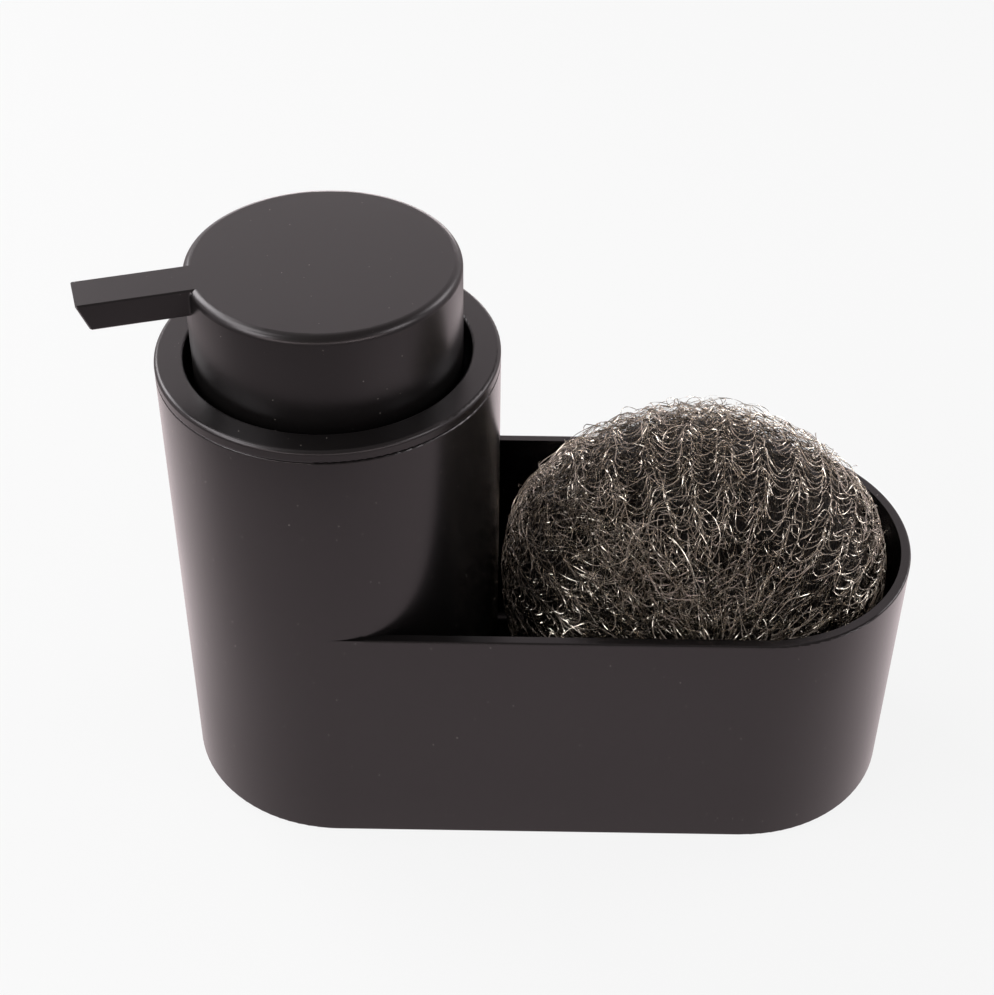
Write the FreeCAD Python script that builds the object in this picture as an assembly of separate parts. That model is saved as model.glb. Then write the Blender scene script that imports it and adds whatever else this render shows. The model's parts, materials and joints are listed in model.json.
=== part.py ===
import FreeCAD, Part
import math
import os

# Soap pump caddy: a tall soap reservoir and a low scourer tray in one moulding, with a lift-out pump.
# Lengths are in millimetres. The origin is on the pump's axis, on the surface that the caddy stands on,
# +X runs along the tray and +Z is up.

# Caddy moulding
tube_radius = 40.0
centre_distance = 102.6
seam_height = 120.0
tray_rim_height = 67.0
wall = 2.4
floor_thickness = 2.5
foot_rounding = 0.3
rim_rounding = 0.5
seam_rounding = 0.4
reservoir_rounding = 4.0
tray_rounding = 3.0
mouth_lead_in = 0.8

# Anti-slip pad in the recess under the moulding
pad_thickness = 1.5
pad_stand = 0.3
pad_margin = 3.0
pad_fit = 0.2

# Cap ring on the reservoir's mouth, with the well that the head sinks into
ring_height = 3.0
ring_width = 6.75
ring_rounding = 1.0
ring_lip_rounding = 0.7
well_wall = 2.2
well_floor_thickness = 2.4
well_rounding = 2.0
well_gap = 3.0
neck_wall = 4.4
seal_fit = 0.08
seal_depth = 4.5
seal_rib_width = 1.2
seal_rib_fit = 0.2

# Press head with its spout
head_stand = 23.6
head_height = 29.0
head_gap = 1.95
head_rounding = 2.0
head_wall = 1.8
head_top_thickness = 2.2
head_hem_rounding = 0.5
core_collar_wall = 1.5
core_collar_depth = 5.0
stroke = 14.0
spout_turn_degrees = -163.5
spout_length = 24.1
spout_width = 10.4
spout_depth = 6.7
spout_undercut = 2.65
spout_wall = 1.3
spout_chamfer = 0.35
spout_root_rounding = 0.6
spout_cover_thickness = 1.2
spout_cover_fit = 0.1
spout_cover_margin = 1.5
spout_tube_radius = 1.8
spout_tube_wall = 0.5
spout_tube_fit = 0.05

# Actuator core that joins the head to the stem
core_radius = 7.0
core_foot_radius = 6.2
core_gap = 1.5
core_fit = 0.05
core_passage_radius = 1.6
core_passage_height = 3.85
socket_depth = 8.5

# Stem, piston and their check valve
stem_radius = 4.0
stem_bore_radius = 1.5
spigot_radius = 3.2
bead_radius = 3.7
bead_height = 1.0
piston_length = 8.0
piston_hub_radius = 5.0
piston_lip_thickness = 0.6
piston_lip_length = 2.6
piston_web = 1.8
piston_fit = 0.05
piston_gap = 0.2
outlet_ball_radius = 2.4
outlet_chamber_play = 0.4
outlet_ball_lift = 1.2
outlet_cage_radius = 3.2
outlet_cage_thickness = 1.2

# Pump housing with its inlet valve and dip tube
housing_bore_radius = 7.4
housing_wall = 1.3
housing_neck_fit = 0.3
housing_flange_radius = 12.6
housing_flange_thickness = 1.5
housing_floor_thickness = 1.0
housing_taper_height = 6.0
tail_radius = 4.6
tail_length = 9.0
inlet_web = 1.5
inlet_bore_radius = 1.4
inlet_ball_radius = 2.5
inlet_chamber_play = 0.6
inlet_ball_lift = 1.5
inlet_cage_fit = 0.2
inlet_cage_thickness = 1.5
ball_seat_gap = 0.1
ball_play = 0.3
dip_tube_radius = 3.0
dip_tube_wall = 0.9
dip_tube_fit = 0.05
dip_tube_lift = 2.5
dip_tube_slant = 4.0

# Gasket, stem guide and closure nut above the neck
gasket_thickness = 1.0
gasket_radius = 12.8
guide_flange_radius = 12.2
guide_flange_thickness = 1.5
guide_skirt_length = 9.8
guide_skirt_wall = 1.7
guide_relief = 4.6
guide_boss_radius = 6.4
guide_boss_height = 2.5
guide_fit = 0.08
nut_wall = 2.3
nut_web = 2.0
nut_fit = 0.3
nut_foot_gap = 0.5
nut_rib_radius = 0.6

# Return spring
spring_pressed_length = 8.0
spring_radius = 5.9
spring_wire_radius = 0.45
spring_seat_gap = 0.1
spring_coil_gap = 0.5

# Knitted scourer, squeezed into the tray
scourer_gap = 0.4
scourer_end_room = 2.2
scourer_rise = 33.0
scourer_sink = 10.0
scourer_foot_share = 0.45

# Counts, angles, shares and tolerances
full_turn = 360.0
half_turn = 180.0
nut_rib_count = 24
spring_turns = 6
turn_quarters = 4
cage_window_count = 3
cage_window_place_share = 0.66
cage_window_share = 0.33
overrun = 2.0
tolerance = 0.001

# Heights and radii that follow from the sizes above
body_bottom = pad_stand
floor_top = pad_thickness + floor_thickness
bore_radius = tube_radius - wall
ring_top = seam_height + ring_height
well_radius = tube_radius - ring_width
well_outer_radius = well_radius + well_wall
head_top = ring_top + head_stand
head_bottom = head_top - head_height
head_radius = well_radius - head_gap
head_inner_radius = head_radius - head_wall
head_ceiling = head_top - head_top_thickness
well_floor = head_bottom - stroke - well_gap
housing_radius = housing_bore_radius + housing_wall
neck_bore_radius = housing_radius + housing_neck_fit
neck_radius = neck_bore_radius + neck_wall
spout_reach = head_radius + spout_length
spout_bottom = head_top - spout_depth
spout_roof = head_top - spout_wall
spout_channel_floor = spout_bottom + spout_cover_thickness
spout_axis_height = spout_channel_floor + (spout_roof - spout_channel_floor) / 2
stem_top = spout_axis_height - core_passage_height
core_bottom = stem_top - socket_depth
guide_top = core_bottom - core_gap - stroke
guide_flange_top = guide_top - guide_boss_height
nut_top = guide_flange_top + nut_web
housing_top = guide_flange_top - guide_flange_thickness
gasket_top = housing_top - housing_flange_thickness
neck_top = gasket_top - gasket_thickness
guide_bottom = housing_top - guide_skirt_length
piston_top = guide_bottom - piston_gap
piston_bottom = piston_top - piston_length
piston_seat = piston_bottom + piston_lip_length
stem_bottom = piston_bottom - bead_height
inlet_cage_top = piston_seat - stroke - spring_pressed_length
housing_floor = inlet_cage_top - inlet_cage_thickness
spout_lean = spout_undercut / spout_depth
spout_inner_half = spout_width / 2 - spout_wall
cover_start = head_radius + spout_cover_margin
cover_end = spout_reach - spout_undercut - spout_wall - spout_cover_margin

Vector = FreeCAD.Vector
up = Vector(0, 0, 1)


# A closed face through corners given as (across, along, rounding); a rounding of zero is a sharp corner.
def rounded_face(corners, to_space):
    count = len(corners)
    places = [Vector(across, along, 0) for across, along, rounding in corners]
    stations = []
    for index in range(count):
        here = places[index]
        rounding = corners[index][2]
        if rounding == 0:
            stations.append((here, None, here))
            continue
        back = (places[index - 1] - here).normalize()
        ahead = (places[(index + 1) % count] - here).normalize()
        half_angle = back.getAngle(ahead) / 2
        reach = rounding / math.tan(half_angle)
        inward = (back + ahead).normalize()
        middle = here + inward * (rounding / math.sin(half_angle) - rounding)
        stations.append((here + back * reach, middle, here + ahead * reach))
    edges = []
    for index in range(count):
        start, middle, end = stations[index]
        following = stations[(index + 1) % count][0]
        if middle is not None:
            edges.append(Part.Arc(to_space(start), to_space(middle), to_space(end)).toShape())
        if (following - end).Length > tolerance:
            edges.append(Part.LineSegment(to_space(end), to_space(following)).toShape())
    return Part.Face(Part.Wire(edges))


def in_section(point):
    return Vector(point.x, 0, point.y)


# A piece turned about the pump's axis from corners given as (radius, height, rounding).
def turned(corners):
    return rounded_face(corners, in_section).revolve(Vector(), up, full_turn)


def sleeve(inner, outer, bottom, top):
    return turned([(inner, bottom, 0), (outer, bottom, 0), (outer, top, 0), (inner, top, 0)])


def rod(radius, bottom, top):
    return Part.makeCylinder(radius, top - bottom, Vector(0, 0, bottom))


# An upright prism with the caddy's outline: two half circles joined by straight sides.
def stadium(radius, bottom, top):
    front_left = Vector(0, -radius, bottom)
    front_right = Vector(centre_distance, -radius, bottom)
    rear_right = Vector(centre_distance, radius, bottom)
    rear_left = Vector(0, radius, bottom)
    right_end = Vector(centre_distance + radius, 0, bottom)
    left_end = Vector(-radius, 0, bottom)
    edges = [
        Part.LineSegment(front_left, front_right).toShape(),
        Part.Arc(front_right, right_end, rear_right).toShape(),
        Part.LineSegment(rear_right, rear_left).toShape(),
        Part.Arc(rear_left, left_end, front_left).toShape(),
    ]
    return Part.Face(Part.Wire(edges)).extrude(up * (top - bottom))


def edges_at(solid, height):
    return [edge for edge in solid.Edges if abs(edge.BoundBox.ZMax - height) < tolerance]


# What rounds the tray's outer rim, from where the rim grows out of the tube and round the tray's far end.
def rim_rounding_tool():
    inner = tube_radius - rim_rounding
    lower = tray_rim_height - rim_rounding
    clear_radius = tube_radius + overrun
    clear_height = tray_rim_height + overrun
    corners = [
        (tube_radius, lower, 0),
        (clear_radius, lower, 0),
        (clear_radius, clear_height, 0),
        (inner, clear_height, 0),
        (inner, tray_rim_height, 0),
    ]
    block = rounded_face(corners, in_section)
    hollow = Part.Face(Part.Wire(Part.makeCircle(rim_rounding, Vector(inner, 0, lower), Vector(0, 1, 0))))
    section = block.cut(hollow).Faces[0]
    end_section = section.copy()
    end_section.translate(Vector(centre_distance, 0, 0))
    end_section.rotate(Vector(centre_distance, 0, 0), up, -half_turn / 2)
    far_end = end_section.revolve(Vector(centre_distance, 0, 0), up, half_turn)
    run_start = math.sqrt(tube_radius ** 2 - (tube_radius - rim_rounding - rim_rounding) ** 2)
    front = end_section.extrude(Vector(run_start - centre_distance, 0, 0))
    rear = front.mirror(Vector(), Vector(0, 1, 0))
    return [far_end, front, rear]


def make_caddy_body():
    foot = stadium(tube_radius, body_bottom, tray_rim_height)
    foot = foot.makeFillet(foot_rounding, edges_at(foot, body_bottom))
    tower = turned([
        (0, tray_rim_height, 0),
        (tube_radius, tray_rim_height, 0),
        (tube_radius, seam_height, seam_rounding),
        (0, seam_height, 0),
    ])
    body = foot.fuse(tower).removeSplitter()
    reservoir = turned([
        (0, floor_top, 0),
        (bore_radius, floor_top, reservoir_rounding),
        (bore_radius, seam_height - mouth_lead_in, 0),
        (bore_radius + mouth_lead_in, seam_height, 0),
        (bore_radius + mouth_lead_in, seam_height + overrun, 0),
        (0, seam_height + overrun, 0),
    ])
    tray = stadium(bore_radius, floor_top, tray_rim_height + overrun)
    tray = tray.makeFillet(tray_rounding, edges_at(tray, floor_top))
    tray = tray.cut(rod(tube_radius, body_bottom, seam_height))
    recess = stadium(tube_radius - pad_margin + pad_fit, body_bottom - overrun, pad_thickness)
    return body.cut([reservoir, tray, recess] + rim_rounding_tool())


def make_base_pad():
    return stadium(tube_radius - pad_margin, 0, pad_thickness)


def make_cap_ring():
    rib_radius = bore_radius - seal_rib_fit
    upper_rib = seam_height - seal_depth
    lower_rib = upper_rib - seal_rib_width - (bore_radius - well_outer_radius)
    well_bottom = well_floor - well_floor_thickness
    return turned([
        (well_radius, ring_top, ring_lip_rounding),
        (tube_radius, ring_top, ring_rounding),
        (tube_radius, seam_height, seam_rounding),
        (well_outer_radius, seam_height, 0),
        (well_outer_radius, upper_rib, 0),
        (rib_radius, upper_rib, 0),
        (rib_radius, upper_rib - seal_rib_width, 0),
        (well_outer_radius, upper_rib - seal_rib_width, 0),
        (well_outer_radius, lower_rib, 0),
        (rib_radius, lower_rib, 0),
        (rib_radius, lower_rib - seal_rib_width, 0),
        (well_outer_radius, lower_rib - seal_rib_width, 0),
        (well_outer_radius, well_bottom, well_rounding),
        (neck_bore_radius, well_bottom, 0),
        (neck_bore_radius, neck_top, 0),
        (neck_radius, neck_top, 0),
        (neck_radius, well_floor, 0),
        (well_radius, well_floor, well_rounding),
    ])


def make_cap_seal():
    room = (bore_radius - well_outer_radius) / 2
    height = seam_height - seal_depth - seal_rib_width - room
    return Part.makeTorus(well_outer_radius + room, room - seal_fit, Vector(0, 0, height))


def make_neck_gasket():
    return sleeve(neck_bore_radius, gasket_radius, neck_top, gasket_top)


# The foot of a 45 degree seat that leaves a resting ball just clear of it.
def seat_height(ball_centre, ball_radius, seat_bore):
    return ball_centre + seat_bore - math.sqrt(2) * (ball_radius + ball_seat_gap)


def ball_centre_under(cage_bottom, ball_radius, lift):
    return cage_bottom - ball_play - lift - ball_radius


def make_pump_housing():
    chamber_radius = inlet_ball_radius + inlet_chamber_play
    ball_centre = ball_centre_under(housing_floor, inlet_ball_radius, inlet_ball_lift)
    seat = seat_height(ball_centre, inlet_ball_radius, inlet_bore_radius)
    socket_radius = dip_tube_radius + dip_tube_fit
    taper_top = housing_floor - housing_floor_thickness
    socket_top = seat - inlet_web
    return turned([
        (housing_bore_radius, housing_top, 0),
        (housing_flange_radius, housing_top, 0),
        (housing_flange_radius, gasket_top, 0),
        (housing_radius, gasket_top, 0),
        (housing_radius, taper_top, 0),
        (tail_radius, taper_top - housing_taper_height, 0),
        (tail_radius, socket_top - tail_length, 0),
        (socket_radius, socket_top - tail_length, 0),
        (socket_radius, socket_top, 0),
        (inlet_bore_radius, socket_top, 0),
        (inlet_bore_radius, seat, 0),
        (chamber_radius, seat + chamber_radius - inlet_bore_radius, 0),
        (chamber_radius, housing_floor, 0),
        (housing_bore_radius, housing_floor, 0),
    ])


# A disc with round windows that keeps a ball in its chamber and lets the soap past.
def ball_cage(radius, chamber_radius, bottom, thickness):
    disc = rod(radius, bottom, bottom + thickness)
    windows = []
    for index in range(cage_window_count):
        angle = math.radians(full_turn * index / cage_window_count)
        place = Vector(math.cos(angle), math.sin(angle), 0) * (chamber_radius * cage_window_place_share)
        place.z = bottom - overrun
        depth = thickness + 2 * overrun
        windows.append(Part.makeCylinder(chamber_radius * cage_window_share, depth, place))
    return disc.cut(windows)


def make_inlet_cage():
    chamber_radius = inlet_ball_radius + inlet_chamber_play
    radius = housing_bore_radius - inlet_cage_fit
    return ball_cage(radius, chamber_radius, housing_floor, inlet_cage_thickness)


def make_outlet_cage():
    chamber_radius = outlet_ball_radius + outlet_chamber_play
    bottom = stem_top - outlet_cage_thickness
    return ball_cage(outlet_cage_radius, chamber_radius, bottom, outlet_cage_thickness)


def make_inlet_ball():
    centre = ball_centre_under(housing_floor, inlet_ball_radius, inlet_ball_lift)
    return Part.makeSphere(inlet_ball_radius, Vector(0, 0, centre))


def make_outlet_ball():
    centre = ball_centre_under(stem_top - outlet_cage_thickness, outlet_ball_radius, outlet_ball_lift)
    return Part.makeSphere(outlet_ball_radius, Vector(0, 0, centre))


def make_dip_tube():
    ball_centre = ball_centre_under(housing_floor, inlet_ball_radius, inlet_ball_lift)
    top = seat_height(ball_centre, inlet_ball_radius, inlet_bore_radius) - inlet_web
    bottom = floor_top + dip_tube_lift
    tube = sleeve(dip_tube_radius - dip_tube_wall, dip_tube_radius, bottom, top)
    corners = [
        (-dip_tube_radius - overrun, bottom - overrun, 0),
        (dip_tube_radius, bottom - overrun, 0),
        (dip_tube_radius, bottom, 0),
        (-dip_tube_radius, bottom + dip_tube_slant, 0),
        (-dip_tube_radius - overrun, bottom + dip_tube_slant, 0),
    ]
    slant = rounded_face(corners, in_section)
    slant.translate(Vector(0, -dip_tube_radius - overrun, 0))
    return tube.cut(slant.extrude(Vector(0, 2 * (dip_tube_radius + overrun), 0)))


def make_stem_guide():
    bearing_radius = stem_radius + guide_fit
    skirt_radius = housing_bore_radius - piston_fit
    relief_top = guide_bottom + guide_relief
    relief_radius = skirt_radius - guide_skirt_wall
    return turned([
        (bearing_radius, guide_top, 0),
        (guide_boss_radius, guide_top, 0),
        (guide_boss_radius, guide_flange_top, 0),
        (guide_flange_radius, guide_flange_top, 0),
        (guide_flange_radius, housing_top, 0),
        (skirt_radius, housing_top, 0),
        (skirt_radius, guide_bottom, 0),
        (relief_radius, guide_bottom, 0),
        (relief_radius, relief_top, 0),
        (bearing_radius, relief_top, 0),
    ])


def make_closure_nut():
    inner = neck_radius + nut_fit
    outer = inner + nut_wall
    bottom = well_floor + nut_foot_gap
    hole = guide_boss_radius + nut_fit
    nut = turned([
        (inner, bottom, 0),
        (outer, bottom, 0),
        (outer, nut_top, 0),
        (hole, nut_top, 0),
        (hole, guide_flange_top, 0),
        (inner, guide_flange_top, 0),
    ])
    ribs = []
    for index in range(nut_rib_count):
        angle = math.radians(full_turn * index / nut_rib_count)
        place = Vector(math.cos(angle) * outer, math.sin(angle) * outer, bottom)
        ribs.append(Part.makeCylinder(nut_rib_radius, nut_top - nut_web - bottom, place))
    return nut.fuse(ribs)


def make_piston():
    bore = spigot_radius + piston_fit
    outer = housing_bore_radius - piston_fit
    lip = outer - piston_lip_thickness
    web_top = piston_seat + piston_web
    return turned([
        (bore, piston_bottom, 0),
        (piston_hub_radius, piston_bottom, 0),
        (piston_hub_radius, piston_seat, 0),
        (lip, piston_seat, 0),
        (lip, piston_bottom, 0),
        (outer, piston_bottom, 0),
        (lip, web_top, 0),
        (outer, piston_top, 0),
        (lip, piston_top, 0),
        (piston_hub_radius, web_top, 0),
        (piston_hub_radius, piston_top, 0),
        (bore, piston_top, 0),
    ])


def make_pump_stem():
    chamber_radius = outlet_ball_radius + outlet_chamber_play
    cage_bottom = stem_top - outlet_cage_thickness
    ball_centre = ball_centre_under(cage_bottom, outlet_ball_radius, outlet_ball_lift)
    seat = seat_height(ball_centre, outlet_ball_radius, stem_bore_radius)
    return turned([
        (stem_bore_radius, stem_bottom, 0),
        (bead_radius, stem_bottom, 0),
        (bead_radius, piston_bottom, 0),
        (spigot_radius, piston_bottom, 0),
        (spigot_radius, piston_top, 0),
        (stem_radius, piston_top, 0),
        (stem_radius, stem_top, 0),
        (outlet_cage_radius + core_fit, stem_top, 0),
        (outlet_cage_radius + core_fit, cage_bottom, 0),
        (chamber_radius, cage_bottom, 0),
        (chamber_radius, seat + chamber_radius - stem_bore_radius, 0),
        (stem_bore_radius, seat, 0),
    ])


# One stretch of the spring's wire: two arcs that leave one station and reach the next along the coil.
def biarc(start, start_way, end, end_way):
    span = end - start
    ways = start_way + end_way
    slack = 2 * (1 - start_way.dot(end_way))
    lean = span.dot(ways)
    reach = (math.sqrt(lean ** 2 + slack * span.dot(span)) - lean) / slack
    first_corner = start + start_way * reach
    second_corner = end - end_way * reach
    joint = (first_corner + second_corner) / 2
    edges = []
    for near, corner, far in ((start, first_corner, joint), (joint, second_corner, end)):
        chord_middle = (near + far) / 2
        half_bend = (corner - near).getAngle(far - near)
        bulge = math.tan(half_bend / 2) / math.tan(half_bend)
        edges.append(Part.Arc(near, chord_middle + (corner - chord_middle) * bulge, far).toShape())
    return edges


# The spring's end turns lie close, and its working turns share the rest of its length.
def make_return_spring():
    bottom = inlet_cage_top + spring_seat_gap + spring_wire_radius
    top = piston_seat - spring_seat_gap - spring_wire_radius
    end_rise = (2 * spring_wire_radius + spring_coil_gap) / turn_quarters
    quarter_count = spring_turns * turn_quarters
    working_count = quarter_count - 2 * turn_quarters
    working_rise = (top - bottom - 2 * turn_quarters * end_rise) / working_count
    rises = [end_rise] * turn_quarters + [working_rise] * working_count + [end_rise] * turn_quarters
    heights = [bottom + sum(rises[:index]) for index in range(quarter_count + 1)]
    stations = []
    for index in range(quarter_count + 1):
        angle = math.radians(full_turn * index / turn_quarters)
        rise = (rises[max(index - 1, 0)] + rises[min(index, quarter_count - 1)]) / 2
        place = Vector(math.cos(angle) * spring_radius, math.sin(angle) * spring_radius, heights[index])
        quarter_arc = math.radians(full_turn / turn_quarters) * spring_radius
        way = Vector(-math.sin(angle) * quarter_arc, math.cos(angle) * quarter_arc, rise).normalize()
        stations.append((place, way))
    edges = []
    for index in range(quarter_count):
        edges += biarc(*stations[index], *stations[index + 1])
    path = Part.Wire(edges)
    section = Part.Wire(Part.makeCircle(spring_wire_radius, *stations[0]))
    spring = path.makePipeShell([section], True, False)
    turns_apart = zip(heights[turn_quarters:], heights)
    least_rise = min(upper - lower for upper, lower in turns_apart)
    print("spring gap to itself", least_rise - 2 * spring_wire_radius)
    print("spring volume", spring.Volume, "from its length", math.pi * spring_wire_radius ** 2 * path.Length)
    return spring


def make_actuator_core():
    socket_radius = stem_radius + core_fit
    core = turned([
        (socket_radius, core_bottom, 0),
        (core_foot_radius, core_bottom, 0),
        (core_radius, stem_top, 0),
        (core_radius, head_ceiling, 0),
        (0, head_ceiling, 0),
        (0, spout_axis_height, 0),
        (core_passage_radius, spout_axis_height, 0),
        (core_passage_radius, stem_top, 0),
        (socket_radius, stem_top, 0),
    ])
    port = spout_line(spout_tube_radius + spout_tube_fit, 0, core_radius + overrun)
    return core.cut(port)


def aimed(shape):
    shape.rotate(Vector(), up, spout_turn_degrees)
    return shape


# A round bar along the spout's axis.
def spout_line(radius, start, end):
    line = Part.makeCylinder(radius, end - start, Vector(start, 0, spout_axis_height), Vector(1, 0, 0))
    return aimed(line)


# A flat bar along the spout whose end face leans back towards its foot; reach is taken at the head's top.
def spout_bar(half_width, bottom, top, start, reach):
    corners = [
        (start, bottom, 0),
        (reach - spout_lean * (head_top - bottom), bottom, 0),
        (reach - spout_lean * (head_top - top), top, 0),
        (start, top, 0),
    ]
    face = rounded_face(corners, in_section)
    face.translate(Vector(0, -half_width, 0))
    return face.extrude(Vector(0, 2 * half_width, 0))


# The upright edges where the spout's sides leave the head's side.
def spout_root_edges(head):
    found = []
    for edge in head.Edges:
        box = edge.BoundBox
        upright = max(box.XLength, box.YLength) < tolerance
        at_side = abs(math.hypot(box.Center.x, box.Center.y) - head_radius) < tolerance
        if upright and at_side and edge.Length < spout_depth:
            found.append(edge)
    return found


def make_pump_head():
    dome = turned([
        (0, head_bottom, 0),
        (head_radius, head_bottom, head_hem_rounding),
        (head_radius, head_top, head_rounding),
        (0, head_top, 0),
    ])
    spout = spout_bar(spout_width / 2, spout_bottom, head_top, 0, spout_reach)
    free_edges = [edge for edge in spout.Edges if edge.BoundBox.XMax > tolerance]
    spout = spout.makeChamfer(spout_chamfer, free_edges)
    hollow = turned([
        (0, head_bottom - overrun, 0),
        (head_inner_radius, head_bottom - overrun, 0),
        (head_inner_radius, head_ceiling, head_rounding),
        (0, head_ceiling, 0),
    ])
    channel_reach = spout_reach - spout_wall
    channel = spout_bar(spout_inner_half, spout_channel_floor, spout_roof, core_radius, channel_reach)
    cover_slot = Part.makeBox(
        cover_end - cover_start,
        2 * spout_inner_half,
        spout_cover_thickness + overrun,
        Vector(cover_start, -spout_inner_half, spout_bottom - overrun),
    )
    liner_way = spout_line(spout_tube_radius + spout_tube_fit, 0, spout_reach + overrun)
    collar_radius = core_radius + core_fit
    collar_bottom = head_ceiling - core_collar_depth
    collar = sleeve(collar_radius, collar_radius + core_collar_wall, collar_bottom, head_ceiling)
    head = dome.fuse(aimed(spout)).removeSplitter()
    head = head.makeFillet(spout_root_rounding, spout_root_edges(head))
    head = head.cut(hollow).fuse(collar)
    return head.cut([aimed(channel), aimed(cover_slot), liner_way]).removeSplitter()


def make_spout_cover():
    half_width = spout_inner_half - spout_cover_fit
    cover = Part.makeBox(
        cover_end - cover_start - 2 * spout_cover_fit,
        2 * half_width,
        spout_cover_thickness,
        Vector(cover_start + spout_cover_fit, -half_width, spout_bottom),
    )
    return aimed(cover)


def make_spout_tube():
    start = core_passage_radius + spout_tube_wall
    tube = spout_line(spout_tube_radius, start, spout_reach)
    bore = spout_line(spout_tube_radius - spout_tube_wall, start - overrun, spout_reach + overrun)
    beyond = spout_bar(spout_width / 2, spout_bottom, head_top, 0, spout_reach)
    return tube.common(aimed(beyond)).cut(bore)


# The scourer's outer form: a dome over a rounded foot, drawn out along the tray.
def make_scourer():
    left = tube_radius + scourer_gap
    right = centre_distance + bore_radius - scourer_end_room
    half_length = (right - left) / 2
    half_width = bore_radius - scourer_gap
    bottom = floor_top + scourer_gap
    waist = tray_rim_height - scourer_sink
    crown = tray_rim_height + scourer_rise
    foot_radius = half_width * scourer_foot_share
    right_angle = full_turn / turn_quarters

    def quarter(centre_radius, across, height, from_side):
        frame = FreeCAD.Matrix()
        frame.A11 = across
        frame.A33 = height
        frame.A14 = centre_radius
        frame.A34 = waist
        unit = Part.makeCircle(1, Vector(), Vector(0, -1, 0), from_side, from_side + right_angle)
        return unit.transformGeometry(frame)

    dome = quarter(0, half_width, crown - waist, 0)
    foot = quarter(foot_radius, half_width - foot_radius, waist - bottom, full_turn - right_angle)
    base = Part.LineSegment(Vector(0, 0, bottom), Vector(foot_radius, 0, bottom)).toShape()
    axis = Part.LineSegment(Vector(0, 0, crown), Vector(0, 0, bottom)).toShape()
    bun = Part.Face(Part.Wire([base, foot, dome, axis])).revolve(Vector(), up, full_turn)
    stretch = FreeCAD.Matrix()
    stretch.A11 = half_length / half_width
    stretch.A14 = (left + right) / 2
    return bun.transformGeometry(stretch)


pieces = {
    "caddy_body": make_caddy_body,
    "base_pad": make_base_pad,
    "cap_ring": make_cap_ring,
    "cap_seal": make_cap_seal,
    "neck_gasket": make_neck_gasket,
    "pump_housing": make_pump_housing,
    "inlet_cage": make_inlet_cage,
    "inlet_ball": make_inlet_ball,
    "dip_tube": make_dip_tube,
    "stem_guide": make_stem_guide,
    "closure_nut": make_closure_nut,
    "return_spring": make_return_spring,
    "piston": make_piston,
    "pump_stem": make_pump_stem,
    "outlet_ball": make_outlet_ball,
    "outlet_cage": make_outlet_cage,
    "actuator_core": make_actuator_core,
    "pump_head": make_pump_head,
    "spout_cover": make_spout_cover,
    "spout_tube": make_spout_tube,
    "scourer": make_scourer,
}

os.makedirs("parts", exist_ok=True)
for name, make in pieces.items():
    solid = make()
    solid.exportStep("parts/" + name + ".step")
    print(name, "valid", solid.isValid(), "solids", len(solid.Solids), "volume", round(solid.Volume, 1))
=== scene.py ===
import bpy
import bmesh
import json
import math
import random
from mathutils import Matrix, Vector, noise
from mathutils.bvhtree import BVHTree


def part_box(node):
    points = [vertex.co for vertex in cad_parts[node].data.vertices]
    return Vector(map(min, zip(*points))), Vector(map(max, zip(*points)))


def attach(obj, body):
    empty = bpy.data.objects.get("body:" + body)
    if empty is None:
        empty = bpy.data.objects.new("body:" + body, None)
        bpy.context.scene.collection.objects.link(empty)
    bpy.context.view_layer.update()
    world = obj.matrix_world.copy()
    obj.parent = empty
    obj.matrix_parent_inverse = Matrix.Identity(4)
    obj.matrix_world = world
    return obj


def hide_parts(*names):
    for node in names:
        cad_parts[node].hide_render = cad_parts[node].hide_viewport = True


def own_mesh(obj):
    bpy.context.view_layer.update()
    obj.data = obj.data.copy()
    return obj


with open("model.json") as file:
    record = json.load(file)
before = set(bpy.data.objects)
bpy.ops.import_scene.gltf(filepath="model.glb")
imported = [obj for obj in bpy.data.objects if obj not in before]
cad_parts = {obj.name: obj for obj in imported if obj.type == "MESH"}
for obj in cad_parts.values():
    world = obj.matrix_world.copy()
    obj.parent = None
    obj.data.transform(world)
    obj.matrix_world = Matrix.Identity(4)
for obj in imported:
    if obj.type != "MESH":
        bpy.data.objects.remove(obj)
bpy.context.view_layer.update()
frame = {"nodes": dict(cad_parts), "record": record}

mm = 0.001
scene = bpy.context.scene
scene.view_settings.view_transform = "Standard"


# sRGB hex to the linear colour that the nodes expect
def linearColor(code):
    channels = [int(code[i:i + 2], 16) / 255 for i in (1, 3, 5)]
    return [c / 12.92 if c <= 0.04045 else ((c + 0.055) / 1.055) ** 2.4 for c in channels] + [1.0]


# one node with its settings, its fixed inputs and the sockets that feed it
def addNode(tree, kind, inputs=None, **settings):
    node = tree.nodes.new(kind)
    for key, value in settings.items():
        setattr(node, key, value)
    for key, value in (inputs or {}).items():
        if isinstance(value, bpy.types.NodeSocket):
            tree.links.new(value, node.inputs[key])
        else:
            node.inputs[key].default_value = value
    return node


# a sum, a product or the like, of sockets and numbers
def combine(tree, operation, *values):
    return addNode(tree, "ShaderNodeMath", dict(enumerate(values)), operation=operation).outputs[0]


# a value that runs from one end to the other over a span
def remap(tree, value, span, ends, **settings):
    return addNode(tree, "ShaderNodeMapRange", {
        "Value": value, "From Min": span[0], "From Max": span[1], "To Min": ends[0], "To Max": ends[1],
    }, **settings).outputs[0]


# the same with a soft start and finish
def fade(tree, value, span, ends):
    return remap(tree, value, span, ends, interpolation_type="SMOOTHSTEP")


# one colour passing into another: 6, 7 and 2 are the node's sockets for colours
def mixColors(tree, share, first, second):
    return addNode(tree, "ShaderNodeMix", {"Factor": share, 6: first, 7: second}, data_type="RGBA").outputs[2]


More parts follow.
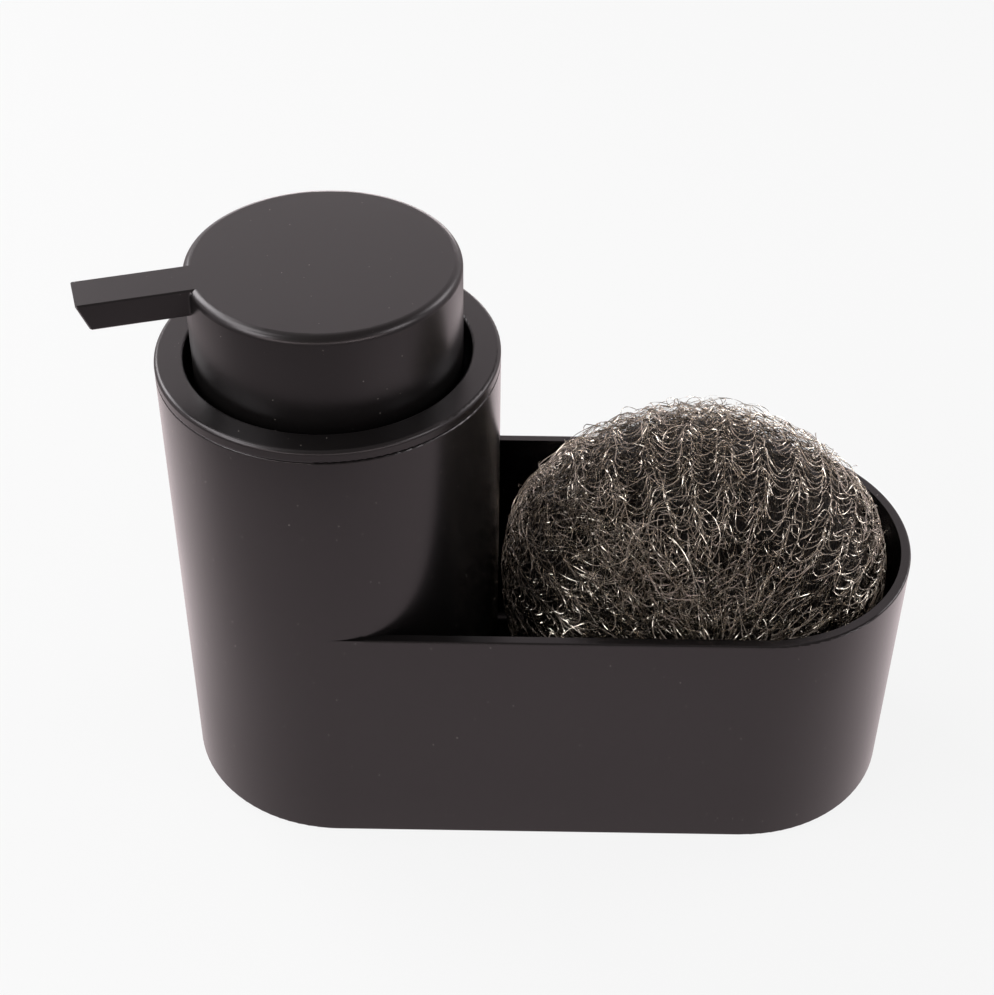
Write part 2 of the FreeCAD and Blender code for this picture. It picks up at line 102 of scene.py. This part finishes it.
# one shader for what lights the scene, one for mirrored rays and one for what the camera is shown
def byRay(tree, plain, mirrored, shown, shownShare):
    ray = addNode(tree, "ShaderNodeLightPath")
    shiny = combine(tree, "MAXIMUM", ray.outputs["Is Glossy Ray"], ray.outputs["Is Transmission Ray"])
    camera = combine(tree, "MULTIPLY", ray.outputs["Is Camera Ray"], shownShare)
    first = addNode(tree, "ShaderNodeMixShader", {0: shiny, 1: plain.outputs[0], 2: mirrored.outputs[0]})
    second = addNode(tree, "ShaderNodeMixShader", {0: camera, 1: first.outputs[0], 2: shown.outputs[0]})
    return second.outputs[0]


# the place on a piece, in its own frame
def objectPlace(tree):
    return addNode(tree, "ShaderNodeTexCoord").outputs["Object"]


# soft patches of about one size, from 0 to 1
def patches(tree, sizeMm, detail=2.0, roughness=0.5):
    return addNode(tree, "ShaderNodeTexNoise", {
        "Vector": objectPlace(tree), "Scale": 1 / (sizeMm * mm), "Detail": detail, "Roughness": roughness,
    }).outputs[0]


# a surface's fine relief, from a height between 0 and 1
def relief(tree, height, strength, depthMm):
    return addNode(tree, "ShaderNodeBump", {
        "Height": height, "Strength": strength, "Distance": depthMm * mm,
    }).outputs[0]


def emptyMaterial(name):
    material = bpy.data.materials.new(name)
    material.use_nodes = True
    material.node_tree.nodes.clear()
    return material, material.node_tree


def principled(material, inputs):
    tree = material.node_tree
    shader = addNode(tree, "ShaderNodeBsdfPrincipled", inputs)
    addNode(tree, "ShaderNodeOutputMaterial", {"Surface": shader.outputs[0]})
    return material


# a smooth object at the origin, from a bmesh that is used up
def addPiece(name, bm, material):
    mesh = bpy.data.meshes.new(name)
    bm.to_mesh(mesh)
    bm.free()
    mesh.materials.append(material)
    mesh.shade_smooth()
    piece = bpy.data.objects.new(name, mesh)
    scene.collection.objects.link(piece)
    return piece


# camera where the photo was taken from: about 40 degrees above the worktop, straight at the long side
photoCamera = {
    "place": (0.04098, -0.35419, 0.37078),
    "turnDegrees": (50.4433, -0.5304, 0.6875),
    "lens": 67.48,
    "sensor": 36.0,
}


def setCamera(look):
    data = bpy.data.cameras.new("photoCamera")
    data.lens = look["lens"]
    data.sensor_width = look["sensor"]
    camera = bpy.data.objects.new("photoCamera", data)
    camera.location = look["place"]
    camera.rotation_euler = [math.radians(d) for d in look["turnDegrees"]]
    scene.collection.objects.link(camera)
    scene.camera = camera


setCamera(photoCamera)
print("camera set")


# white sweep behind and beside the caddy, the dark of the room over and behind the camera, soft boxes
# round about; mirrored rays also meet low bright strips, one in front that is dimmer in its middle and
# a narrow one behind
studio = {
    "pale": "#f7f7f7",
    "mirroredPale": "#f9eff1",
    "roomDark": "#918a88",
    "roomWay": (0.0, -0.62, 0.785),
    "roomFade": (-0.2, 0.75),
    "ambient": 0.4,
    "stripTop": (0.08, 0.2),
    "frontStrip": 12.0,
    "frontFade": (-0.82, -0.55),
    "frontGap": (0.12, 0.4),
    "frontGapShare": 0.5,
    "backStrip": 7.0,
    "backFade": (0.94, 0.98),
    "aim": (0.05, 0.0, 0.06),
    "boxes": [
        {"name": "leftBox", "place": (-0.72, -0.5, 0.55), "side": 0.42, "watts": 3.4},
        {"name": "leftTopBox", "place": (-0.62, -0.06, 0.8), "side": 0.5, "watts": 4.0},
        {"name": "rightBox", "place": (0.9, -0.45, 0.55), "side": 0.36, "watts": 2.0},
        {"name": "leftBackBox", "place": (-0.56, 0.48, 0.64), "side": 0.48, "watts": 5.0},
        {"name": "rightBackBox", "place": (0.8, 0.36, 0.6), "side": 0.42, "watts": 2.4},
    ],
}


def lightStudio(look):
    world = bpy.data.worlds.new("studio")
    scene.world = world
    world.use_nodes = True
    tree = world.node_tree
    tree.nodes.clear()
    way = addNode(tree, "ShaderNodeTexCoord").outputs["Generated"]
    towards = addNode(tree, "ShaderNodeVectorMath", {0: way, 1: look["roomWay"]}, operation="DOT_PRODUCT")
    dark = fade(tree, towards.outputs["Value"], look["roomFade"], (0.0, 1.0))
    seen = mixColors(tree, dark, linearColor(look["mirroredPale"]), linearColor(look["roomDark"]))
    heading = addNode(tree, "ShaderNodeSeparateXYZ", {0: way})
    low = fade(tree, heading.outputs["Z"], look["stripTop"], (1.0, 0.0))
    facing = fade(tree, heading.outputs["Y"], look["frontFade"], (look["frontStrip"], 0.0))
    aside = combine(tree, "ABSOLUTE", heading.outputs["X"])
    gap = fade(tree, aside, look["frontGap"], (look["frontGapShare"], 1.0))
    front = combine(tree, "MULTIPLY", facing, gap)
    behind = fade(tree, heading.outputs["Y"], look["backFade"], (0.0, look["backStrip"]))
    strips = combine(tree, "ADD", front, behind)
    bright = combine(tree, "MULTIPLY", strips, low)
    level = combine(tree, "ADD", bright, 1.0)
    pale = linearColor(look["pale"])
    plain = addNode(tree, "ShaderNodeBackground", {"Color": pale, "Strength": look["ambient"]})
    mirrored = addNode(tree, "ShaderNodeBackground", {"Color": seen, "Strength": level})
    backdrop = addNode(tree, "ShaderNodeBackground", {"Color": pale, "Strength": 1.0})
    addNode(tree, "ShaderNodeOutputWorld", {"Surface": byRay(tree, plain, mirrored, backdrop, 1.0)})
    for box in look["boxes"]:
        data = bpy.data.lights.new(box["name"], "AREA")
        data.shape = "SQUARE"
        data.size = box["side"]
        data.energy = box["watts"]
        lamp = bpy.data.objects.new(box["name"], data)
        lamp.location = box["place"]
        lamp.visible_camera = False
        sight = Vector(look["aim"]) - Vector(box["place"])
        lamp.rotation_euler = sight.to_track_quat("-Z", "Y").to_euler()
        scene.collection.objects.link(lamp)


# matt paper: its own white for the camera with a light share of its real shading for the shadow, and in
# mirrored rays a glow of painted light, brighter beside the caddy and dimmer in front, with painted shade
# at its foot, falling off where the sheet ends
paper = {
    "white": "#f7f7f7",
    "mirrored": "#fff0f2",
    "side": 6.0,
    "shadow": 0.07,
    # painted shade at the caddy's foot in mirrored rays, and how far it reaches
    "footPaintedShade": 0.78,
    "footReach": 0.05,
    "sheetFade": (0.135, 0.175),
    "beyond": 0.4,
    "frontFade": (-0.09, 0.04),
    # levels of the painted light in mirrored rays, in front of and beside the caddy
    "front": 0.82,
    "beside": 1.32,
}


def paperSweep(name, look):
    material, tree = emptyMaterial(name)
    low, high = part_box("caddy_body")
    radius = (high.y - low.y) / 2
    spot = addNode(tree, "ShaderNodeSeparateXYZ", {0: objectPlace(tree)})
    spine = addNode(tree, "ShaderNodeClamp", {
        "Value": spot.outputs["X"], "Min": low.x + radius, "Max": high.x - radius,
    })
    past = combine(tree, "SUBTRACT", spot.outputs["X"], spine.outputs[0])
    off = addNode(tree, "ShaderNodeCombineXYZ", {"X": past, "Y": spot.outputs["Y"]})
    far = addNode(tree, "ShaderNodeVectorMath", {0: off.outputs[0]}, operation="LENGTH").outputs["Value"]
    # painted shade near the caddy's foot
    paintedFootShade = fade(tree, far, (radius, radius + look["footReach"]), (look["footPaintedShade"], 1.0))
    sheet = fade(tree, far, [radius + reach for reach in look["sheetFade"]], (1.0, look["beyond"]))
    # painted light: dimmer in front, brighter beside the caddy
    level = fade(tree, spot.outputs["Y"], look["frontFade"], (look["front"], look["beside"]))
    lit = combine(tree, "MULTIPLY", sheet, level)
    paintedGlow = combine(tree, "MULTIPLY", lit, paintedFootShade)
    shade = addNode(tree, "ShaderNodeBsdfDiffuse", {"Color": linearColor(look["white"])})
    white = addNode(tree, "ShaderNodeEmission", {"Color": linearColor(look["white"]), "Strength": 1.0})
    mirrored = addNode(tree, "ShaderNodeEmission", {"Color": linearColor(look["mirrored"]), "Strength": paintedGlow})
    surface = byRay(tree, shade, mirrored, white, 1 - look["shadow"])
    addNode(tree, "ShaderNodeOutputMaterial", {"Surface": surface})
    return material


def layFloor(look):
    bm = bmesh.new()
    bmesh.ops.create_grid(bm, x_segments=1, y_segments=1, size=look["side"] / 2)
    floor = addPiece("floor", bm, paperSweep("paper sweep matt white", look))


lightStudio(studio)
layFloor(paper)
print("studio lit")


# moulded ABS from a finely textured tool: near black, a satin sheen with a faint rosy warmth in its
# reflections, duller smudges where hands have been, and the specks of dust that a dark wall shows
satinBlack = {
    "black": "#0b0a0a",
    "cloud": "#110f0f",
    "cloudMm": 30.0,
    "cloudDetail": 3.0,
    "cloudRoughness": 0.6,
    "grainMm": 0.6,
    "grainDepthMm": 0.02,
    "grainStrength": 0.06,
    "roughness": (0.19, 0.27),
    "ior": 1.5,
    "sheenTint": "#fff8fc",
    "speck": "#8b8480",
    "speckMm": 2.8,
    "speckSizeShare": 0.05,
    "speckShare": 0.8,
}
# head and cap ring come from a blasted tool: the same black, a softer sheen
headBlack = dict(satinBlack, roughness=(0.26, 0.33))
# all other black pieces hardly show a speck
cleanBlack = dict(satinBlack, speckShare=0.01)
# acetal pump parts in black: a touch greyer and duller than the outer moulding
pumpBlack = dict(cleanBlack, black="#121212", cloud="#1a1a1a", roughness=(0.4, 0.52))
# thermoplastic rubber pad, ground matt so that it grips
padBlack = dict(cleanBlack, black="#141313", cloud="#1d1b1a", roughness=(0.7, 0.82), grainMm=1.2)
# nitrile seals, matt with the faint bloom of the mould
sealBlack = dict(cleanBlack, black="#1a1a1a", cloud="#242322", roughness=(0.55, 0.7), grainMm=0.9)


def mouldedPlastic(name, look):
    material, tree = emptyMaterial(name)
    clouds = patches(tree, look["cloudMm"], look["cloudDetail"], look["cloudRoughness"])
    grain = patches(tree, look["grainMm"])
    plastic = mixColors(tree, clouds, linearColor(look["black"]), linearColor(look["cloud"]))
    cells = addNode(tree, "ShaderNodeTexVoronoi", {
        "Vector": objectPlace(tree), "Scale": 1 / (look["speckMm"] * mm),
    })
    chance = addNode(tree, "ShaderNodeSeparateColor", {"Color": cells.outputs["Color"]})
    near = combine(tree, "LESS_THAN", cells.outputs["Distance"], look["speckSizeShare"])
    kept = remap(tree, chance.outputs[0], (1 - look["speckShare"], 1.0), (0.0, 1.0))
    speck = combine(tree, "MULTIPLY", near, kept)
    return principled(material, {
        "Base Color": mixColors(tree, speck, plastic, linearColor(look["speck"])),
        "Roughness": remap(tree, clouds, (0.0, 1.0), look["roughness"]),
        "Normal": relief(tree, grain, look["grainStrength"], look["grainDepthMm"]),
        "IOR": look["ior"],
        "Specular Tint": linearColor(look["sheenTint"]),
    })


# natural polypropylene: milky, waxy, lets some light through
naturalMilk = {
    "milk": "#dcdad0",
    "thin": "#efeee6",
    "cloudMm": 9.0,
    "grainMm": 0.6,
    "grainDepthMm": 0.03,
    "grainStrength": 0.08,
    "roughness": (0.32, 0.45),
    "ior": 1.49,
    "throughShare": 0.35,
    "throughReach": (0.004, 0.004, 0.0036),
}


def milkyPlastic(name, look):
    material, tree = emptyMaterial(name)
    clouds = patches(tree, look["cloudMm"])
    grain = patches(tree, look["grainMm"])
    return principled(material, {
        "Base Color": mixColors(tree, clouds, linearColor(look["milk"]), linearColor(look["thin"])),
        "Roughness": remap(tree, clouds, (0.0, 1.0), look["roughness"]),
        "Normal": relief(tree, grain, look["grainStrength"], look["grainDepthMm"]),
        "IOR": look["ior"],
        "Subsurface Weight": look["throughShare"],
        "Subsurface Radius": look["throughReach"],
        "Subsurface Scale": 1.0,
    })


# stainless steel balls, polished: bright and cool
polishedSteel = {
    "steel": "#c9c8c5",
    "shade": "#b3b1ad",
    "patchMm": 1.5,
    "patchDetail": 3.0,
    "roughness": (0.08, 0.16),
    "metal": 1.0,
}
# drawn spring wire: greyer, with duller patches
springSteel = dict(polishedSteel, steel="#b4b2ae", shade="#8f8c87", patchMm=0.8, roughness=(0.22, 0.34))
# flat scourer wire: bright, with a tan bloom
scourerSteel = dict(
    polishedSteel, steel="#f9f3ea", shade="#d6cbbc", patchMm=4.0, roughness=(0.08, 0.2), metal=0.95,
)
# the same wire in the inner plies, darkened as painted shade so that the knit has depth
innerSteelPaintedShade = dict(scourerSteel, steel="#635b52", shade="#3c3630", roughness=(0.2, 0.34))


def steel(name, look):
    material, tree = emptyMaterial(name)
    dull = patches(tree, look["patchMm"], look["patchDetail"])
    return principled(material, {
        "Base Color": mixColors(tree, dull, linearColor(look["steel"]), linearColor(look["shade"])),
        "Roughness": remap(tree, dull, (0.0, 1.0), look["roughness"]),
        "Metallic": look["metal"],
    })


finishes = {
    "satin_black_plastic": mouldedPlastic("ABS moulded satin black", satinBlack),
    "black_pump_plastic": mouldedPlastic("acetal moulded black", pumpBlack),
    "pad_rubber": mouldedPlastic("thermoplastic rubber matt black", padBlack),
    "seal_rubber": mouldedPlastic("nitrile rubber moulded", sealBlack),
    "natural_plastic": milkyPlastic("polypropylene moulded natural", naturalMilk),
    "ball_steel": steel("stainless steel polished", polishedSteel),
    "spring_steel": steel("stainless spring wire drawn", springSteel),
    "scourer_wire": steel("stainless scourer wire knitted", scourerSteel),
}
for part in frame["record"]["subparts"]:
    node = frame["nodes"][part["node"]]
    node.data.materials.clear()
    node.data.materials.append(finishes[part["material_slot"]])
softBlack = mouldedPlastic("ABS moulded soft satin black", headBlack)
for name in ("pump_head", "cap_ring"):
    frame["nodes"][name].data.materials[0] = softBlack
print("finishes on", len(frame["nodes"]), "solids")


# the spring: a copy of its solid with its seams welded, carried by the pump unit in place of the imported one
coil = {
    "node": "return_spring",
    "joint": "head_press",
    "body": "pump_unit",
    "slot": "spring_steel",
    "weldMm": 0.001,
}


def pressedSpring(look):
    node, joint = look["node"], look["joint"]
    bm = bmesh.new()
    bm.from_mesh(frame["nodes"][node].data)
    bmesh.ops.remove_doubles(bm, verts=bm.verts[:], dist=look["weldMm"] * mm)
    piece = addPiece(node + "_coil", bm, finishes[look["slot"]])
    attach(piece, look["body"])
    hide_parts(node)
    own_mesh(piece)


pressedSpring(coil)


# knitted scourer: flat fine wire knitted into a sleeve, folded over itself in several plies and gathered
# to a bun; wales run up and over from the gather low at the front, where the knit is pulled thin
# and crumpled
bun = {
    "heartShare": 0.54,
    "noiseSeed": 2,
    "plies": [
        {"depthMm": -0.3, "rise": -6.0, "turn": 2.0, "wales": 30, "outer": True},
        {"depthMm": -1.5, "rise": -4.0, "turn": -1.0, "wales": 30, "outer": True},
        {"depthMm": -2.4, "rise": -16.0, "turn": 15.0, "wales": 27, "outer": False},
        {"depthMm": -3.4, "rise": 8.0, "turn": -22.0, "wales": 27, "outer": False},
    ],
    "plyShiftRows": 0.25,
    "plyApart": (7.3, 3.1, 0.0),
    "poleLean": 0.15,
    "rowMm": 2.3,
    "loopSteps": 14,
    "loopRows": 1.55,
    "loopTall": (0.8, 1.25),
    "looseTall": 0.9,
    "skew": 0.08,
    "looseSkew": 0.14,
    "headPinch": 0.1,
    "headRound": 0.047,
    "loopDepthMm": 0.4,
    "wanderWales": 0.3,
    "wanderSteps": (0.13, 1.7, 2.3),
    "waveMm": 0.35,
    "wavesPerMetre": 80.0,
    "unevenMm": 0.35,
    "proudMm": 2.2,
    "proudLeast": 0.4,
    "proudShare": 0.12,
    "crumpleFrom": 60.0,
    "crumpleTo": 26.0,
    "crumpleMm": 2.4,
    "crumplesPerMetre": 90.0,
    "dropShare": 0.35,
    "tangleRise": 37.0,
    "tangleTurn": 4.0,
    "tangleMm": 15.0,
    "tangleDepthMm": 3.0,
    "freeAboveRimMm": 3.0,
    "proudMostMm": 2.4,
    "wallRoomMm": 0.35,
}


# the way that rises so many degrees, turned so many degrees from the front to the right
def wayTo(rise, turn):
    rise, turn = math.radians(rise), math.radians(turn)
    return Vector((math.sin(turn) * math.cos(rise), -math.cos(turn) * math.cos(rise), math.sin(rise)))


# the tray's rim, read off the moulding: the highest point of its far half
def rimHeight():
    body = frame["nodes"]["caddy_body"].data
    low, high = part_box("caddy_body")
    far = (low.x + high.x) / 2
    return max(v.co.z for v in body.vertices if v.co.x > far)


class BunShape:
    def __init__(self, look):
        solid = frame["nodes"]["scourer"]
        low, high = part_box("scourer")
        self.look = look
        self.tree = BVHTree.FromObject(solid, bpy.context.evaluated_depsgraph_get())
        self.heart = (low + high) / 2
        self.heart.z = low.z + (high.z - low.z) * look["heartShare"]
        self.rim = rimHeight()
        self.tangle = wayTo(look["tangleRise"], look["tangleTurn"])

    # the way to the gather that a ply's wales run out of
    def gatherAt(self, rise, turn):
        self.axis = wayTo(rise, turn)
        self.side = self.axis.cross(Vector((0, 0, 1))).normalized()
        self.top = self.axis.cross(self.side)

    def way(self, lean, turn):
        across = self.side * math.cos(turn) + self.top * math.sin(turn)
        return self.axis * math.cos(lean) + across * math.sin(lean)

    def reach(self, way):
        return (self.tree.ray_cast(self.heart, way)[0] - self.heart).length

    def at(self, way, lift):
        return self.heart + way * (self.reach(way) + lift)

    # how far the knit sinks into the hollow, and how crumpled it is towards the gather
    def crumple(self, way, lean, size):
        hollow = math.exp(-((way - self.tangle).length * size / (self.look["tangleMm"] * mm)) ** 2)
        near, done = self.look["crumpleFrom"], self.look["crumpleTo"]
        share = min(max((near - math.degrees(lean)) / (near - done), 0), 1)
        return hollow, share * share * (3 - 2 * share)

    # a point kept inside the bun's outline, and let stand proud only where it is clear of the tray
    def settle(self, point):
        out = point - self.heart
        room = -self.look["wallRoomMm"] * mm
        if point.z > self.rim + self.look["freeAboveRimMm"] * mm:
            room = self.look["proudMostMm"] * mm
        limit = self.reach(out.normalized()) + room
        if out.length > limit:
            out *= limit / out.length
        return self.heart + out


# one ply: row upon row of loops, each run of points ending where a loop is dropped
def knitPly(shape, look, ply, seed):
    dice = random.Random(seed)
    shape.gatherAt(ply["rise"], ply["turn"])
    size = shape.reach(shape.top)
    rowLean = look["rowMm"] * mm / size
    rows = int((math.pi - 2 * look["poleLean"]) / rowLean)
    wales = ply["wales"]
    shift = seed * look["plyShiftRows"]
    apart = Vector([seed * step for step in look["plyApart"]])
    shortest, tallest = look["loopTall"]
    rowStep, waleStep, plyStep = look["wanderSteps"]
    runs = [[]]
    for row in range(rows):
        for wale in range(wales):
            loose = shape.crumple(shape.axis, row * rowLean, size)[1]
            tall = look["loopRows"] * dice.uniform(shortest, tallest + look["looseTall"] * loose)
            skew = dice.gauss(0, look["skew"] + look["looseSkew"] * loose)
            wander = noise.noise(Vector((row * rowStep, wale * waleStep, seed * plyStep)))
            aside = look["wanderWales"] * wander
            proud = abs(dice.gauss(0, look["unevenMm"])) * mm
            if ply["outer"] and dice.random() < look["proudShare"]:
                proud += dice.uniform(look["proudLeast"], 1.0) * look["proudMm"] * mm
            if dice.random() < look["dropShare"] * loose:
                runs.append([])
                continue
            for step in range(look["loopSteps"]):
                t = 2 * math.pi * step / look["loopSteps"]
                share = t / (2 * math.pi)
                along = wale + share - look["headPinch"] * math.sin(t) + look["headRound"] * math.sin(2 * t)
                along += aside + skew * math.cos(t)
                up = row + (wale + share) / wales + shift + tall * math.cos(t)
                lean = look["poleLean"] + max(up, 0.0) * rowLean
                way = shape.way(lean, 2 * math.pi * along / wales)
                hollow, loose = shape.crumple(way, lean, size)
                lift = ply["depthMm"] * mm + proud * max(math.cos(t), 0)
                lift -= look["loopDepthMm"] * mm * math.cos(2 * t)
                point = shape.at(way, lift - look["tangleDepthMm"] * mm * hollow)
                move = noise.noise_vector(point * look["wavesPerMetre"] + apart) * look["waveMm"]
                crease = noise.noise_vector(point * look["crumplesPerMetre"] - apart)
                move += crease * look["crumpleMm"] * loose
                runs[-1].append(shape.settle(point + move * mm))
    return [run for run in runs if len(run) > 1]


# flat drawn wire, lying on the bun's skin with a slow twist: its broad side flashes where it mirrors the light
wire = {
    "widthMm": 0.22,
    "thickMm": 0.1,
    "twist": 1.0,
    "twistSteps": 5.0,
    "runApart": 3.7,
    "lengthApart": 0.1,
}


# the way across the flat of the wire at each point of a run
def wireAcross(run, number, shape, look):
    across = []
    for i, point in enumerate(run):
        along = (run[min(i + 1, len(run) - 1)] - run[max(i - 1, 0)]).normalized()
        flat = along.cross(point - shape.heart).normalized()
        spot = Vector((i / look["twistSteps"], number * look["runApart"], len(run) * look["lengthApart"]))
        twist = look["twist"] * math.pi * noise.noise(spot)
        across.append(flat * math.cos(twist) + along.cross(flat) * math.sin(twist))
    return across


# runs of points drawn out to ribbons and given their thickness
def wirePiece(name, runs, shape, look, material):
    bm = bmesh.new()
    order = bm.verts.layers.int.new("order")
    across = []
    links = []
    for number, run in enumerate(runs):
        chain = [bm.verts.new(point) for point in run]
        for i, vert in enumerate(chain):
            vert[order] = len(across) + i
        across += wireAcross(run, number, shape, look)
        links += [bm.edges.new(pair) for pair in zip(chain, chain[1:])]
    drawn = set(bmesh.ops.extrude_edge_only(bm, edges=links)["geom"])
    for vert in bm.verts:
        half = look["widthMm"] * mm / 2 * (1 if vert in drawn else -1)
        vert.co += across[vert[order]] * half
    bm.verts.layers.int.remove(order)
    bmesh.ops.solidify(bm, geom=bm.faces[:], thickness=look["thickMm"] * mm)
    bmesh.ops.recalc_face_normals(bm, faces=bm.faces[:])
    piece = addPiece(name, bm, material)
    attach(piece, "scourer_pad")
    print(name, "triangles", sum(len(f.vertices) - 2 for f in piece.data.polygons))
    return piece


# without a seed, the noise that bends the wires would follow the clock
noise.seed_set(bun["noiseSeed"])
bunShape = BunShape(bun)
innerWirePaintedShade = steel("stainless scourer wire knitted inner painted shade", innerSteelPaintedShade)
for number, ply in enumerate(bun["plies"], 1):
    runs = knitPly(bunShape, bun, ply, number)
    # inner plies take the darkened copy of the wire: painted shade
    shown = finishes["scourer_wire"] if ply["outer"] else innerWirePaintedShade
    knit = wirePiece("scourer_knit_%d" % number, runs, bunShape, wire, shown)
    if number == 1:
        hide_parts("scourer")
print("scourer knitted")


# sprung loops and loose ends of a slightly narrower wire: arcs and longer bends in the hollow, long bent
# runs low down, single loops on top and towards the rear, and a tangle over the left flank
stray = {
    "seed": 77,
    "steps": 14,
    "scatter": 0.4,
    "riseShare": 0.6,
    "turnShare": 1.4,
    "lowestRise": 12.0,
    "headingDepth": 0.3,
    "groups": [
        {"count": 90, "rise": 34.0, "turn": 0.0, "spread": 30.0, "radiusMm": (2.5, 8.0),
         "sweep": (80, 230), "liftMm": (-2.2, 0.3), "bowMm": (0.0, 1.0), "slope": 0.9},
        {"count": 60, "rise": 30.0, "turn": 0.0, "spread": 45.0, "radiusMm": (10.0, 40.0),
         "sweep": (20, 60), "liftMm": (-1.5, 0.3), "bowMm": (0.0, 0.6), "slope": 0.6},
        {"count": 80, "rise": 16.0, "turn": -14.0, "spread": 60.0, "radiusMm": (8.0, 30.0),
         "sweep": (30, 90), "liftMm": (-0.9, 0.2), "bowMm": (0.0, 0.6), "slope": 0.15},
        {"count": 60, "rise": 75.0, "turn": 0.0, "spread": 60.0, "radiusMm": (3.0, 9.0),
         "sweep": (60, 180), "liftMm": (-1.0, 0.2), "bowMm": (0.2, 1.2), "slope": 0.6},
        {"count": 60, "rise": 103.0, "turn": 0.0, "spread": 60.0, "radiusMm": (3.0, 7.0),
         "sweep": (80, 170), "liftMm": (-0.8, 0.0), "bowMm": (1.2, 2.6), "slope": 0.3},
        {"count": 170, "rise": 40.0, "turn": -46.0, "spread": 45.0, "radiusMm": (4.0, 16.0),
         "sweep": (50, 140), "liftMm": (-0.5, 0.3), "bowMm": (0.0, 0.7), "slope": 0.9},
        {"count": 110, "rise": 38.0, "turn": -64.0, "spread": 36.0, "radiusMm": (4.0, 16.0),
         "sweep": (50, 140), "liftMm": (-0.4, 0.3), "bowMm": (0.0, 0.7), "slope": 0.9},
    ],
}
strayWire = dict(wire, widthMm=0.18, twistSteps=3.0)


# one loose wire: an arc that keeps its height over the bun's skin and bows out in its middle
def strayRun(shape, look, group, dice):
    rise = group["rise"] + dice.gauss(0, look["scatter"]) * group["spread"] * look["riseShare"]
    turn = group["turn"] + dice.gauss(0, look["scatter"]) * group["spread"] * look["turnShare"]
    point = shape.at(wayTo(max(rise, look["lowestRise"]), turn), dice.uniform(*group["liftMm"]) * mm)
    bend = math.radians(dice.uniform(*group["sweep"])) / look["steps"]
    stepLength = dice.uniform(*group["radiusMm"]) * mm * bend
    bend *= dice.choice((-1, 1))
    deep = look["headingDepth"]
    heading = Vector((dice.uniform(-1, 1), dice.uniform(-deep, deep), dice.uniform(-1, 1) * group["slope"]))
    bow = dice.uniform(*group["bowMm"]) * mm
    run = []
    for step in range(look["steps"]):
        out = (point - shape.heart).normalized()
        arch = bow * math.sin(math.pi * step / (look["steps"] - 1))
        run.append(shape.settle(point + out * arch))
        heading = (heading - out * heading.dot(out)).normalized()
        heading = heading * math.cos(bend) + out.cross(heading) * math.sin(bend)
        lift = (point - shape.heart).length - shape.reach(out)
        point = point + heading * stepLength
        point = shape.at((point - shape.heart).normalized(), lift)
    return run


def strayWires(shape, look):
    dice = random.Random(look["seed"])
    return [strayRun(shape, look, group, dice) for group in look["groups"] for i in range(group["count"])]


wirePiece("scourer_strays", strayWires(bunShape, stray), bunShape, strayWire, finishes["scourer_wire"])
print("scourer strays laid")


# the imported inner turns of the same wire, coloured near black as painted shade: seen only as dark depth
# between the outer loops
core = {
    "shareOfBun": 0.885,
    "subdivisions": 5,
    "lumpMm": 3.5,
    "lumps": 5.0,
    # near-black colours for steel wire: painted shade of the bun's depth
    "dark": "#080605",
    "wire": "#1a1613",
    "wireMm": 0.9,
    "wavesPerWire": 0.32,
    "warp": 6.0,
    "warpDetail": 3.0,
    "warpScale": 1.5,
    "bump": 0.8,
    "roughness": 0.55,
    "metal": 0.7,
}


def packedWirePaintedShade(name, look):
    material, tree = emptyMaterial(name)
    lines = addNode(tree, "ShaderNodeTexWave", {
        "Vector": objectPlace(tree), "Scale": look["wavesPerWire"] / (look["wireMm"] * mm),
        "Distortion": look["warp"], "Detail": look["warpDetail"], "Detail Scale": look["warpScale"],
    }).outputs[0]
    return principled(material, {
        "Base Color": mixColors(tree, lines, linearColor(look["dark"]), linearColor(look["wire"])),
        "Roughness": look["roughness"],
        "Metallic": look["metal"],
        "Normal": relief(tree, lines, look["bump"], look["wireMm"]),
    })


def packCore(shape, look):
    bm = bmesh.new()
    bmesh.ops.create_icosphere(bm, subdivisions=look["subdivisions"], radius=1.0)
    for vert in bm.verts:
        way = vert.co.normalized()
        lump = noise.noise(way * look["lumps"]) * look["lumpMm"] * mm
        vert.co = shape.heart + way * (shape.reach(way) * look["shareOfBun"] + lump)
    piece = addPiece("scourer_core", bm, packedWirePaintedShade("stainless scourer wire packed painted shade", look))
    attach(piece, "scourer_pad")


packCore(bunShape, core)
print("scourer core packed")
